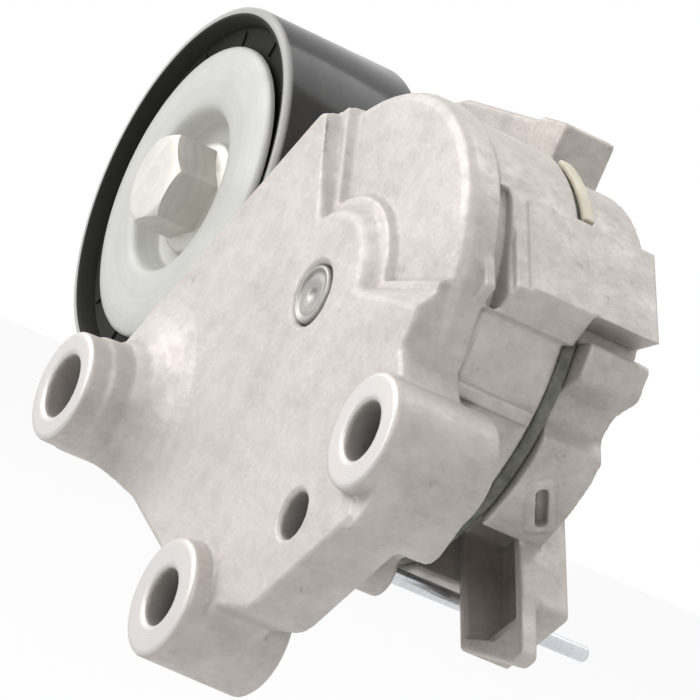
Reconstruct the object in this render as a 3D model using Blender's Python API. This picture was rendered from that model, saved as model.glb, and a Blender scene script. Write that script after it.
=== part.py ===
"""Drive belt tensioner with its idler pulley, held at rest by a locking pin.

Frame: +Y is the pivot axis, away from the plate's front face. +Z is up and +X to the
side of the two fixing bosses. The origin is on the pivot axis in the plate's front face.
"""
import math

import bmesh
import bpy
from mathutils import Matrix, Vector

MM = 0.001
CLEAR = 0.3 * MM            # gap between pieces that touch

# Cast base: plate, drum and bosses
PLATE_DEPTH = 12.0 * MM     # front face to the plate's rear edge
SEAM_Y = 11.2 * MM          # where the drum's front band ends
PLATE_SKIN = 5.6 * MM       # wall that is left in front of the rear pockets
LEDGE_Y = 2.7 * MM          # first step down into the open sector
SECTOR_Y = 4.6 * MM         # drum's end face in the open sector
SECTOR_LOW = math.radians(12.0)
SECTOR_HIGH = math.radians(127.5)
HUB_R = 18.0 * MM           # raised round pad about the pivot
LEDGE_W = 1.6 * MM
RISER_W = 2.4 * MM          # width of the first sloping step
DRUM_R = 41.0 * MM          # front band of the drum
DRUM_STEP = 1.0 * MM        # the rest of the drum is this much smaller
DRUM_END_Y = 29.4 * MM
DRUM_WALL = 4.0 * MM
RING_T = 2.6 * MM            # friction ring between the drum and the arm
FLOOR_Y = 9.5 * MM          # inner floor of the drum
CAST_EDGE = 0.9 * MM        # rounded edge of the casting

# Three tubular bosses: centre, face, rear end, outer and bore radius
BOSS_A = (-51.0 * MM, -33.7 * MM)
BOSS_A_FACE = -15.0 * MM
BOSS_A_R = 10.8 * MM
FLARE_W = 14.0 * MM         # how far boss A flares into the plate
BORE_A_R = 6.1 * MM         # this bore takes a sleeve
BOSS_B = (1.9 * MM, -59.0 * MM)
BOSS_B_FACE = -4.0 * MM
BOSS_B_REAR = 17.6 * MM
BOSS_B_R = 11.2 * MM
BOSS_C = (45.4 * MM, -17.7 * MM)
BOSS_C_FACE = -3.0 * MM
BOSS_C_REAR = 18.5 * MM
BOSS_C_R = 10.6 * MM
LOBE = (46.0 * MM, -29.0 * MM)
LOBE_R = 5.2 * MM
BORE_R = 5.3 * MM           # clears a 10 mm bolt
BORE_CHAMFER = 1.2 * MM
DOWEL = (28.5 * MM, -35.8 * MM)
DOWEL_R = 4.3 * MM

# Stop block of the base, square to a radius at 45 degrees
BLOCK_ANGLE = math.radians(45.0)
BLOCK_PROUD = 0.3 * MM
BLOCK_DISTANCE = DRUM_R + BLOCK_PROUD
BLOCK_UP = 1.5 * MM
BLOCK_DOWN = 19.2 * MM
BLOCK_FRONT_Y = 12.6 * MM
BLOCK_REAR_Y = 44.5 * MM
NOTCH_Y = 30.6 * MM          # the block is cut away under its rear end
GROOVE_W = 2.2 * MM
GROOVE_DEPTH = 2.6 * MM
RIDGE_W = 2.8 * MM
RIDGE_DROP = 0.6 * MM
STOP_ANGLE = math.radians(20.6)

# Cast arm
DISC_FRONT_Y = DRUM_END_Y + RING_T + 2 * CLEAR
DISC_REAR_Y = 45.0 * MM
DISC_R = DRUM_R - 0.8 * MM
SLOT_R = DISC_R - 2.6 * MM  # disc where the stop block passes
BLOCK_CLEAR = 1.2 * MM
LUG_R = DISC_R + 3.4 * MM
LUG_TOP = math.radians(16.0)
TOP_LUG_LEFT = -22.5 * MM
TOP_LUG_RIGHT = -10.0 * MM
TOP_LUG_HIGH = 47.3 * MM
VALLEY = 4.0 * MM           # notch in the disc below its lug
NECK_FRONT_Y = 38.6 * MM
NECK_REAR_Y = 47.0 * MM
BRACKET_ANGLE = math.radians(-45.0)
BRACKET_LEFT = -13.6 * MM   # side that leans on the locking pin
BRACKET_WIDTH = 18.4 * MM
BRACKET_IN = 25.0 * MM
BRACKET_OUT = 52.5 * MM
BRACKET_NOSE = 11.0 * MM    # the end's corner stands out by this much more
BRACKET_FRONT_Y = 41.0 * MM
BRACKET_DEPTH = 10.2 * MM
BRACKET_WALL = 2.0 * MM
NOSE_DEPTH = 3.4 * MM

# Pivot
SHAFT_END_R = 5.5 * MM
SHAFT_R = 7.0 * MM
SHAFT_HEAD_R = 11.0 * MM
SHAFT_HEAD_T = 2.8 * MM
HUB_BORE_R = 9.4 * MM
HUB_OUT_R = 13.5 * MM
WASHER_T = 2.0 * MM
BUSH_LENGTH = 14.0 * MM

# Spring and damping
WIRE_R = 2.4 * MM
COIL_TURNS = 3.6
RING_INSET = 0.9 * MM
BAND_T = 5.9 * MM
BAND_ROOM = 0.5 * MM        # between the band and the spring
BAND_GAP = math.radians(26.0)

# Locking pin
PIN_R = 1.5 * MM
PIN_OFF = 1.2 * MM          # between the disc's rim and the pin
PIN_START_Y = 17.0 * MM
PIN_END_Y = 70.5 * MM
PIN_LUG_R = 4.8 * MM
PIN_LUG_FRONT_Y = 11.0 * MM
PIN_LUG_REAR_Y = DRUM_END_Y - 3 * MM

# Pulley
PULLEY = (-87.7 * MM, 8.9 * MM)
PULLEY_R = 38.3 * MM
PULLEY_FRONT_Y = 6.0 * MM
PULLEY_WIDTH = 31.0 * MM
RIM_WALL = 3.0 * MM
WEB_Y = 3.6 * MM            # web below the rim's front edge
WEB_T = 4.4 * MM
PULLEY_RIBS = 12
RELIEF = 4.7 * MM           # room round the pulley for its swing

# Bearing of the pulley
BEARING_FRONT_Y = 14.0 * MM
BEARING_WIDTH = 13.0 * MM
BEARING_OUT_R = 20.0 * MM
BEARING_IN_R = 8.7 * MM
RACE_ROOM = BEARING_OUT_R - BEARING_IN_R
RACE_OUT_R = BEARING_OUT_R - 0.22 * RACE_ROOM
RACE_IN_R = BEARING_IN_R + 0.32 * RACE_ROOM
BALL_R = 0.283 * RACE_ROOM
BALLS = 8
SEAT_STEP = 3.4 * MM        # from the bearing to the arm's seat
SEAL_T = 0.9 * MM

# Cap and bolt of the pulley
CAP_R = PULLEY_R - 7.9 * MM
CAP_Y = 7.2 * MM
CAP_T = 1.0 * MM
WELL_R = 17.4 * MM
WELL_FLOOR_R = 14.8 * MM
WELL_Y = 12.0 * MM
HEAD_AF = 17.0 * MM
HEAD_T = 9.4 * MM
FLANGE_R = 11.6 * MM
FLANGE_T = 1.8 * MM
BOLT_R = 5.0 * MM

DRUM_BODY_R = DRUM_R - DRUM_STEP
CAVITY_R = DRUM_BODY_R - DRUM_WALL
BAND_IN_R = CAVITY_R - CLEAR - BAND_T
COIL_R = BAND_IN_R - BAND_ROOM - WIRE_R
RING_OUT_R = DRUM_BODY_R - RING_INSET
BALL_CENTRE_R = (RACE_OUT_R + RACE_IN_R) / 2
BALL_Y = BEARING_FRONT_Y + BEARING_WIDTH * 0.46
PIN_T = BRACKET_LEFT - CLEAR - PIN_R
PIN_OUT = math.sqrt((DISC_R + PIN_OFF + PIN_R) ** 2 - PIN_T ** 2)
PIN = (
    PIN_OUT * math.cos(BRACKET_ANGLE) - PIN_T * math.sin(BRACKET_ANGLE),
    PIN_OUT * math.sin(BRACKET_ANGLE) + PIN_T * math.cos(BRACKET_ANGLE),
)


# Basic shapes. Outlines are (x, z) pairs and profiles are (radius, y) pairs.

def clear_scene():
    for item in list(bpy.data.objects):
        bpy.data.objects.remove(item, do_unlink=True)


def material(name, colour, roughness, metallic):
    found = bpy.data.materials.get(name)
    if found:
        return found
    made = bpy.data.materials.new(name)
    made.use_nodes = True
    shader = made.node_tree.nodes["Principled BSDF"]
    shader.inputs["Base Color"].default_value = (*colour, 1.0)
    shader.inputs["Roughness"].default_value = roughness
    shader.inputs["Metallic"].default_value = metallic
    return made


def place(name, bm, centre=(0.0, 0.0)):
    """Make an object of a mesh whose origin lies on the axis through centre."""
    bmesh.ops.recalc_face_normals(bm, faces=bm.faces)
    mesh = bpy.data.meshes.new(name)
    bm.to_mesh(mesh)
    bm.free()
    item = bpy.data.objects.new(name, mesh)
    item.location = (centre[0], 0.0, centre[1])
    bpy.context.collection.objects.link(item)
    return item


def lathe(name, profile, centre=(0.0, 0.0), segments=48):
    """Turn a closed profile about the Y direction through centre."""
    bm = bmesh.new()
    ring = [bm.verts.new((radius, y, 0.0)) for radius, y in profile]
    pairs = zip(ring, ring[1:] + ring[:1])
    edges = [bm.edges.new(pair) for pair in pairs if max(pair[0].co.x, pair[1].co.x) > 0]
    bmesh.ops.spin(
        bm, geom=ring + edges, cent=(0, 0, 0), axis=(0, 1, 0),
        angle=2 * math.pi, steps=segments, use_merge=True,
    )
    bmesh.ops.remove_doubles(bm, verts=bm.verts, dist=1e-7)
    bmesh.ops.dissolve_degenerate(bm, dist=1e-7, edges=bm.edges)
    return place(name, bm, centre)


def prism(name, outline, front, rear, edge=0.0):
    """Extrude an outline from front to rear, with its front edge rounded over."""
    bm = bmesh.new()
    face = bm.faces.new([bm.verts.new((x, front, z)) for x, z in outline])
    rim = list(face.edges)
    grown = bmesh.ops.extrude_face_region(bm, geom=[face], use_keep_orig=True)
    moved = [item for item in grown["geom"] if isinstance(item, bmesh.types.BMVert)]
    bmesh.ops.translate(bm, verts=moved, vec=(0, rear - front, 0))
    bmesh.ops.recalc_face_normals(bm, faces=bm.faces)
    if edge:
        bmesh.ops.bevel(bm, geom=rim, offset=edge, segments=2, profile=0.5, affect="EDGES")
    return place(name, bm)


def stacked(name, levels, edge=0.0):
    """Skin outlines of equally many points, given as (outline, y), from front to rear."""
    bm = bmesh.new()
    rings = [[bm.verts.new((x, y, z)) for x, z in outline] for outline, y in levels]
    rim = list(bm.faces.new(rings[0]).edges)
    bm.faces.new(list(reversed(rings[-1])))
    for ring, following in zip(rings, rings[1:]):
        for i in range(len(ring)):
            j = (i + 1) % len(ring)
            bm.faces.new((ring[j], ring[i], following[i], following[j]))
    bmesh.ops.recalc_face_normals(bm, faces=bm.faces)
    if edge:
        bmesh.ops.bevel(bm, geom=rim, offset=edge, segments=2, profile=0.5, affect="EDGES")
    bmesh.ops.remove_doubles(bm, verts=bm.verts, dist=1e-6)
    return place(name, bm)


def arc(centre, radius, start, end, steps):
    """Points on an arc, with its angles measured from +X towards +Z."""
    turns = [start + (end - start) * step / steps for step in range(steps + 1)]
    return [(centre[0] + radius * math.cos(a), centre[1] + radius * math.sin(a)) for a in turns]


def polar(radius, angle):
    return (radius * math.cos(angle), radius * math.sin(angle))


def rounded(corners, step=math.radians(22)):
    """Round the corners (x, z, radius) of an outline with arcs."""
    points = []
    for i, (x, z, radius) in enumerate(corners):
        here = Vector((x, z))
        before = Vector(corners[i - 1][:2]) - here
        after = Vector(corners[(i + 1) % len(corners)][:2]) - here
        if radius <= 0:
            points.append((x, z))
            continue
        opening = before.angle(after)
        reach = min(radius / math.tan(opening / 2), 0.48 * min(before.length, after.length))
        fitted = reach * math.tan(opening / 2)
        middle = here + (before.normalized() + after.normalized()).normalized() * (
            fitted / math.sin(opening / 2)
        )
        first = here + before.normalized() * reach - middle
        turn = first.angle_signed(here + after.normalized() * reach - middle)
        count = max(1, round(abs(turn) / step))
        for k in range(count + 1):
            spoke = Matrix.Rotation(-turn * k / count, 2) @ first
            points.append(tuple(middle + spoke))
    return points


def combine(target, tool, operation):
    """Join, cut or keep the common part of two solids, and drop the tool."""
    change = target.modifiers.new(operation.lower(), "BOOLEAN")
    change.operation = operation
    change.solver = "EXACT"
    change.object = tool
    graph = bpy.context.evaluated_depsgraph_get()
    mesh = bpy.data.meshes.new_from_object(target.evaluated_get(graph))
    target.modifiers.clear()
    target.data = mesh
    bpy.data.objects.remove(tool, do_unlink=True)


def join(target, *tools):
    for tool in tools:
        combine(target, tool, "UNION")


def cut(target, *tools):
    for tool in tools:
        combine(target, tool, "DIFFERENCE")


def finish(item, made_of, parent=None):
    """Give the piece its material and smooth shading, and hang it on its parent."""
    item.data.materials.clear()
    item.data.materials.append(made_of)
    item.data.shade_smooth()
    item.data.set_sharp_from_angle(angle=math.radians(32))
    if parent:
        item.parent = parent
        item.matrix_parent_inverse = parent.matrix_basis.inverted()
    return item


def tube(name, inner, outer, front, rear, centre=(0.0, 0.0), segments=32, edge=0.0):
    profile = [
        (inner, front), (outer - edge, front), (outer, front + edge),
        (outer, rear - edge), (outer - edge, rear), (inner, rear),
    ]
    if not edge:
        profile = [(inner, front), (outer, front), (outer, rear), (inner, rear)]
    return lathe(name, profile, centre, segments)


def rod(name, radius, front, rear, centre=(0.0, 0.0), segments=32):
    return lathe(name, [(0, front), (radius, front), (radius, rear), (0, rear)], centre, segments)


def bore(name, centre, radius, front, rear, chamfer, segments=28):
    """A cutter that opens a bore and breaks its two edges."""
    wide = radius + chamfer
    over = 1 * MM
    profile = [
        (0, front - over), (wide + over, front - over), (radius, front + chamfer),
        (radius, rear - chamfer / 2), (radius + chamfer / 2 + over, rear + over), (0, rear + over),
    ]
    return lathe(name, profile, centre, segments)


# The cast base

def sector_outline(step):
    """Inner side of the open sector, moved into it by step: two edges and the hub's arc."""
    radius = HUB_R + step
    low = SECTOR_LOW + step / (0.75 * DRUM_R)
    high = SECTOR_HIGH - max(step, -1 * MM) / (0.75 * DRUM_R)
    return (
        [polar(DRUM_R - 1 * MM, low)]
        + arc((0, 0), radius, low + 0.09, high - 0.03, 12)
        + [polar(DRUM_R, high)]
    )


def plate_outline(step):
    """Edge of the plate, from the top corner round the wing and bosses to the sector."""
    wing = rounded([
        (*polar(DRUM_R + 0.6 * MM, SECTOR_HIGH + 0.05), 2 * MM),
        (-42.5 * MM, 11.5 * MM, 40 * MM),
        (-61.5 * MM, -15.5 * MM, 9 * MM),
        (BOSS_A[0] - BOSS_A_R, BOSS_A[1] + 2 * MM, 8 * MM),
        (BOSS_A[0] - 4 * MM, BOSS_A[1] - BOSS_A_R + 1 * MM, 7 * MM),
        (BOSS_A[0] + 4.6 * MM, BOSS_A[1] - BOSS_A_R + 0.4 * MM, 0),
        (-28.4 * MM, -49 * MM, 14 * MM),
        (BOSS_B[0] - 15 * MM, BOSS_B[1] + 6 * MM, 6 * MM),
        (BOSS_B[0] - 8 * MM, BOSS_B[1] - 7 * MM, 2 * MM),
        (BOSS_B[0] + 8 * MM, BOSS_B[1] - 7 * MM, 2 * MM),
        (BOSS_B[0] + 13.5 * MM, BOSS_B[1] + 2.6 * MM, 2 * MM),
        (27.8 * MM, -54 * MM, 9 * MM),
        (49.2 * MM, -31.6 * MM, 0),
        (BOSS_C[0] + 1 * MM, BOSS_C[1] - 9 * MM, 0),
        (BOSS_C[0] + 8 * MM, BOSS_C[1] + 4 * MM, 5 * MM),
        (*polar(DRUM_R, math.radians(-3.5)), 1 * MM),
        (*polar(DRUM_R - 0.4 * MM, math.radians(4)), 0),
    ])
    return wing + sector_outline(step)


def boss_a():
    """Tall boss with two turned steps, which flares into the plate."""
    grow = BOSS_A_R
    face = BOSS_A_FACE
    profile = [
        (0, face), (grow - 0.5 * MM, face), (grow, face + 0.5 * MM), (grow + 0.1 * MM, face + 4.2 * MM),
        (grow + 0.6 * MM, face + 4.8 * MM), (grow + 0.8 * MM, face + 8.8 * MM),
        (grow + 1.5 * MM, face + 9.6 * MM), (grow + 2.7 * MM, face + 11.4 * MM),
        (grow + 4.9 * MM, face + 13.0 * MM), (grow + 8.4 * MM, face + 14.4 * MM),
        (grow + FLARE_W, 0.3 * MM), (grow + FLARE_W, LEDGE_Y), (0, LEDGE_Y),
    ]
    flare = lathe("flare", profile, BOSS_A, 40)
    wing = [
        (-61.2 * MM, -14.8 * MM), (BOSS_A[0] - BOSS_A_R - 1.9 * MM, BOSS_A[1] + 6 * MM),
        *arc(BOSS_A, BOSS_A_R + 0.4 * MM, math.radians(190), math.radians(290), 8),
        (BOSS_A[0] + 14 * MM, BOSS_A[1] - BOSS_A_R - 2 * MM), (-22 * MM, -48 * MM),
        (-22 * MM, 10 * MM), (-44 * MM, 8.5 * MM),
    ]
    combine(flare, prism("wing", wing, face - 1 * MM, 4 * MM), "INTERSECT")
    return flare


def boss_b():
    edge = 0.6 * MM
    profile = [
        (0, BOSS_B_FACE), (BOSS_B_R - edge, BOSS_B_FACE), (BOSS_B_R, BOSS_B_FACE + edge),
        (BOSS_B_R + 0.5 * MM, BOSS_B_REAR - 2 * edge), (BOSS_B_R - edge, BOSS_B_REAR),
        (0, BOSS_B_REAR),
    ]
    return lathe("boss_b", profile, BOSS_B, 40)


def boss_c():
    """Boss with a second, lower lobe beside it and one flange behind both."""
    edge = 0.6 * MM
    profile = [
        (0, BOSS_C_FACE), (BOSS_C_R - edge, BOSS_C_FACE), (BOSS_C_R, BOSS_C_FACE + edge),
        (BOSS_C_R, BOSS_C_REAR - edge), (BOSS_C_R - edge, BOSS_C_REAR), (0, BOSS_C_REAR),
    ]
    body = lathe("boss_c", profile, BOSS_C, 40)
    inset = BOSS_C_R - 0.2 * MM
    lean = math.asin((inset - LOBE_R) / (BOSS_C[1] - LOBE[1]))
    skirt = arc(BOSS_C, inset, lean * -1, math.pi + lean, 11)
    skirt += arc(LOBE, LOBE_R, math.pi + lean, 2 * math.pi - lean, 10)
    join(body, prism("skirt", skirt, edge, BOSS_C_REAR - edge, 0.3 * MM))
    return body


def block_point(along, distance=BLOCK_DISTANCE):
    """A point on the block's outer face, along it from the foot of the radius."""
    out = Vector((math.cos(BLOCK_ANGLE), math.sin(BLOCK_ANGLE)))
    side = Vector((out.y, -out.x))
    return tuple(out * distance + side * along)


def stop_block():
    """Block on the drum's side, which reaches back over the arm between two of its lugs."""
    inner = SLOT_R + BLOCK_CLEAR
    top = block_point(-BLOCK_UP)
    bottom = block_point(BLOCK_DOWN)
    foot = polar(DRUM_R, math.radians(13.5))
    outline = [top, bottom, foot, polar(inner - 1 * MM, math.radians(13.5))]
    outline += arc((0, 0), inner - 1 * MM, math.radians(18), math.radians(47), 7)
    body = prism("stop_block", outline, BLOCK_FRONT_Y - 3 * MM, BLOCK_REAR_Y)
    over = 12 * MM
    low = BLOCK_DISTANCE - GROOVE_DEPTH
    ridge = BLOCK_DISTANCE - RIDGE_DROP
    fields = [
        (low, 0.0, BLOCK_FRONT_Y + GROOVE_W),
        (ridge, BLOCK_FRONT_Y, BLOCK_FRONT_Y + GROOVE_W + RIDGE_W),
    ]
    for level, front, rear in fields:
        ends = (-over, over + BLOCK_DOWN)
        field = [block_point(along, level) for along in ends]
        field += [block_point(along, level + over) for along in reversed(ends)]
        cut(body, prism("field", field, front, rear))
    reach = 60 * MM
    under = [polar(30 * MM, STOP_ANGLE), polar(reach, STOP_ANGLE), polar(reach, 0), (30 * MM, 0)]
    cut(body, prism("notch", under, NOTCH_Y, BLOCK_REAR_Y + 1 * MM))
    return body


def rear_pockets():
    """Two pockets behind the wing, with a rib left between them."""
    upper = rounded([
        (-40.5 * MM, -6 * MM, 3 * MM), (-42 * MM, 4 * MM, 3 * MM),
        (-50 * MM, -8 * MM, 3 * MM), (-50 * MM, -18 * MM, 3 * MM),
        (-40.5 * MM, -18 * MM, 3 * MM),
    ])
    lower = rounded([
        (-34 * MM, -25.5 * MM, 3 * MM), (-36.5 * MM, -40.5 * MM, 3 * MM),
        (-13 * MM, -49 * MM, 3 * MM), (-10 * MM, -43.5 * MM, 3 * MM),
    ])
    return [
        prism("upper_pocket", upper, PLATE_SKIN, PLATE_DEPTH + 1 * MM),
        prism("lower_pocket", lower, PLATE_SKIN, PLATE_DEPTH + 1 * MM),
    ]


def base_housing():
    body_r = DRUM_BODY_R
    profile = [
        (0, SECTOR_Y), (DRUM_R - 2.2 * MM, SECTOR_Y), (DRUM_R - 0.7 * MM, SECTOR_Y + 0.6 * MM),
        (DRUM_R, SECTOR_Y + 2.1 * MM), (DRUM_R, SEAM_Y), (body_r, SEAM_Y + 0.6 * MM),
        (body_r, DRUM_END_Y - 0.8 * MM), (body_r - 0.8 * MM, DRUM_END_Y),
        (0, DRUM_END_Y),
    ]
    base = lathe("base_housing", profile, segments=60)
    second = plate_outline(LEDGE_W + RISER_W * 0.4)
    plate = stacked("plate", [
        (plate_outline(-RISER_W), 0.0), (plate_outline(0.0), LEDGE_Y),
        (plate_outline(LEDGE_W), LEDGE_Y), (second, SECTOR_Y), (second, PLATE_DEPTH),
    ], CAST_EDGE)
    cut(plate, *rear_pockets())
    join(base, plate, boss_a(), boss_b(), boss_c(), stop_block())
    join(base, *side_ribs(), band_hook())
    join(base, pin_lug(), rod("a_rear", BOSS_A_R + 0.4 * MM, 1 * MM, PLATE_DEPTH, BOSS_A, 40))
    relief = rod(
        "relief", PULLEY_R + RELIEF, PLATE_SKIN - 0.6 * MM, DRUM_END_Y,
        (PULLEY[0] - 0.4 * MM, PULLEY[1] - 3.4 * MM), 60,
    )
    cavity = lathe("cavity", [
        (0, FLOOR_Y), (CAVITY_R - 1 * MM, FLOOR_Y), (CAVITY_R, FLOOR_Y + 1 * MM),
        (CAVITY_R, DRUM_END_Y + 1 * MM), (0, DRUM_END_Y + 1 * MM),
    ], segments=48)
    ring_room = rod(
        "ring_room", RING_OUT_R + CLEAR, DRUM_END_Y + CLEAR / 3, DISC_FRONT_Y - CLEAR / 3, segments=44
    )
    cut(base, relief, cavity, ring_room)
    cut(
        base,
        bore("bore_a", BOSS_A, BORE_A_R, BOSS_A_FACE, PLATE_DEPTH, BORE_CHAMFER / 2),
        bore("bore_b", BOSS_B, BORE_R, BOSS_B_FACE, BOSS_B_REAR, BORE_CHAMFER / 2),
        bore("bore_c", BOSS_C, BORE_R, BOSS_C_FACE, BOSS_C_REAR, BORE_CHAMFER / 2),
        bore("dowel_hole", DOWEL, DOWEL_R, 0, PLATE_DEPTH, 0.7 * MM),
        rod("pin_hole", PIN_R + CLEAR, PLATE_DEPTH + 1 * MM, DRUM_END_Y + 1 * MM, PIN, 16),
        bore("pivot_bore", (0, 0), SHAFT_END_R + CLEAR, 0, FLOOR_Y, 0.9 * MM),
    )
    return base


def side_ribs():
    """Two low ribs along the drum's side, between the stop block and boss C."""
    ribs = []
    for degrees in (-6.0, -7.8):
        angle = math.radians(degrees)
        half = 0.8 / 40
        corners = [
            polar(DRUM_BODY_R - 1 * MM, angle - half), polar(DRUM_BODY_R - 1 * MM, angle + half),
            polar(DRUM_BODY_R + 1.2 * MM, angle + half * 0.8),
            polar(DRUM_BODY_R + 1.2 * MM, angle - half * 0.8),
        ]
        ribs.append(prism("rib", corners, SEAM_Y - 1 * MM, DRUM_END_Y - 1.2 * MM))
    return ribs


def band_hook():
    """Small block on the drum's rear edge, above the locking pin."""
    low = math.radians(-58.0)
    high = math.radians(-53.0)
    corners = [
        polar(CAVITY_R + 1 * MM, low), polar(DRUM_BODY_R + 1.8 * MM, low),
        polar(DRUM_BODY_R + 1.8 * MM, high), polar(CAVITY_R + 1 * MM, high),
    ]
    return prism("band_hook", corners, DRUM_END_Y - 6 * MM, DRUM_END_Y)


def pin_lug():
    """Lug below the drum that guides the locking pin."""
    lug = rod("pin_lug", PIN_LUG_R, PIN_LUG_FRONT_Y, PIN_LUG_REAR_Y, PIN, 24)
    inward = Vector(PIN).normalized() * (CAVITY_R + 2 * MM)
    along = Vector((-inward.y, inward.x)).normalized() * PIN_LUG_R
    web = [
        tuple(Vector(PIN) + along), tuple(Vector(PIN) - along),
        tuple(inward - along * 1.3), tuple(inward + along * 1.3),
    ]
    join(lug, prism("lug_web", web, PIN_LUG_FRONT_Y, PIN_LUG_REAR_Y))
    return lug


# The cast arm

def bracket_point(out, along):
    """A point at a distance out from the pivot and along the side of the bracket."""
    away = Vector((math.cos(BRACKET_ANGLE), math.sin(BRACKET_ANGLE)))
    side = Vector((-away.y, away.x))
    return tuple(away * out + side * along)


def bracket():
    """Lug that leans on the locking pin: a box open to the front, with a flat nose."""
    left = BRACKET_LEFT
    right = left + BRACKET_WIDTH
    out = BRACKET_OUT
    box = rounded([
        (*bracket_point(BRACKET_IN, left), 0), (*bracket_point(out, left), 1 * MM),
        (*bracket_point(out, right), 1 * MM), (*bracket_point(BRACKET_IN, right), 0),
    ])
    nose = rounded([
        (*bracket_point(out - 4 * MM, left), 0), (*bracket_point(out - 0.4 * MM, left + 0.5 * MM), 1 * MM),
        (*bracket_point(out + BRACKET_NOSE, right - 3.6 * MM), 1.5 * MM),
        (*bracket_point(out + BRACKET_NOSE, right - 0.4 * MM), 1 * MM),
        (*bracket_point(out - 4 * MM, right), 0),
    ])
    body = prism("bracket", box, BRACKET_FRONT_Y, BRACKET_FRONT_Y + BRACKET_DEPTH, 0.4 * MM)
    join(body, prism("nose", nose, BRACKET_FRONT_Y, BRACKET_FRONT_Y + NOSE_DEPTH, 0.4 * MM))
    return body


def bracket_openings():
    """Recess in the disc before the bracket, its pocket and a slot in the rim beside it."""
    left = BRACKET_LEFT
    right = left + BRACKET_WIDTH
    wall = BRACKET_WALL
    recess = [
        bracket_point(BRACKET_IN, left), bracket_point(BRACKET_OUT, left),
        bracket_point(BRACKET_OUT, right), bracket_point(BRACKET_IN, right),
    ]
    pocket = rounded([
        (*bracket_point(BRACKET_IN + wall, left + wall), 0.8 * MM),
        (*bracket_point(BRACKET_OUT - wall, left + wall), 0.8 * MM),
        (*bracket_point(BRACKET_OUT + 3.5 * MM, right - 8 * MM), 0.8 * MM),
        (*bracket_point(BRACKET_OUT + 3 * MM, right - wall), 0.8 * MM),
        (*bracket_point(BRACKET_IN + wall, right - wall), 0.8 * MM),
    ])
    rear = BRACKET_FRONT_Y + BRACKET_DEPTH
    turns = [math.radians(a) for a in (-27, -36)]
    slot = [polar(r, a) for r in (DISC_R - 3 * MM, DISC_R + 4 * MM) for a in turns]
    slot = [slot[0], slot[1], slot[3], slot[2]]
    return [
        prism("recess", recess, DISC_FRONT_Y - 1 * MM, BRACKET_FRONT_Y),
        prism("pocket", pocket, BRACKET_FRONT_Y - 1 * MM, rear - 0.7 * wall),
        prism("slot", slot, BRACKET_FRONT_Y, BRACKET_FRONT_Y + 2.4 * MM),
    ]


def disc_outline():
    """Rim of the arm's disc: a slot for the stop block, a lug, a notch and steps."""
    degrees = math.radians
    valley = DISC_R - VALLEY
    return rounded([
        (*polar(SLOT_R, LUG_TOP), 0), (*polar(LUG_R, LUG_TOP), 1.4 * MM),
        (*polar(LUG_R - 0.6 * MM, degrees(7)), 1.6 * MM), (*polar(valley + 1 * MM, degrees(2)), 2.5 * MM),
        (*polar(valley, degrees(-5)), 2.5 * MM), (*polar(DISC_R, degrees(-9.5)), 1.4 * MM),
        (*polar(DISC_R + 0.4 * MM, degrees(-16)), 0), (*polar(DISC_R + 0.2 * MM, degrees(-24)), 0),
        (*polar(DISC_R, degrees(-32)), 0),
    ]) + arc((0, 0), DISC_R, degrees(-38), degrees(-256), 38) + arc(
        (0, 0), SLOT_R, degrees(101), degrees(21), 13
    )


def neck_outline():
    """Broad neck from the disc to the pulley, with the upper lug at its right end."""
    lug_x = -10.5 * MM
    pad = 17 * MM
    return rounded([
        (lug_x - 2 * MM, 36 * MM, 0), (lug_x, 47 * MM, 1.2 * MM), (lug_x - 12 * MM, 47 * MM, 2 * MM),
        (lug_x - 14 * MM, 46.6 * MM, 4 * MM), (-58 * MM, 46.4 * MM, 18 * MM),
        (PULLEY[0] - 9 * MM, PULLEY[1] + pad, 14 * MM),
        (PULLEY[0] - pad, PULLEY[1] - 4 * MM, 14 * MM),
        (PULLEY[0] - 3 * MM, PULLEY[1] - pad - 1 * MM, 14 * MM),
        (-52 * MM, -20 * MM, 30 * MM), (-28 * MM, -27 * MM, 6 * MM), (-5 * MM, 0, 0),
    ])


def neck_pockets():
    """Pockets behind the neck, parted by a rib from the pivot to the pulley."""
    upper = rounded([
        (-44 * MM, 13 * MM, 3 * MM), (-42 * MM, 37 * MM, 4 * MM), (-56 * MM, 37 * MM, 6 * MM),
        (-76 * MM, 25 * MM, 4 * MM), (-66 * MM, 14 * MM, 3 * MM),
    ])
    lower = rounded([
        (-45 * MM, 8 * MM, 3 * MM), (-65 * MM, 6.5 * MM, 3 * MM), (-69 * MM, -4 * MM, 3 * MM),
        (-52 * MM, -14 * MM, 6 * MM), (-45 * MM, -12 * MM, 3 * MM),
    ])
    depth = NECK_REAR_Y - 4.5 * MM
    return [
        prism("upper_pocket", upper, depth, NECK_REAR_Y + 1 * MM),
        prism("lower_pocket", lower, depth, NECK_REAR_Y + 1 * MM),
    ]


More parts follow.
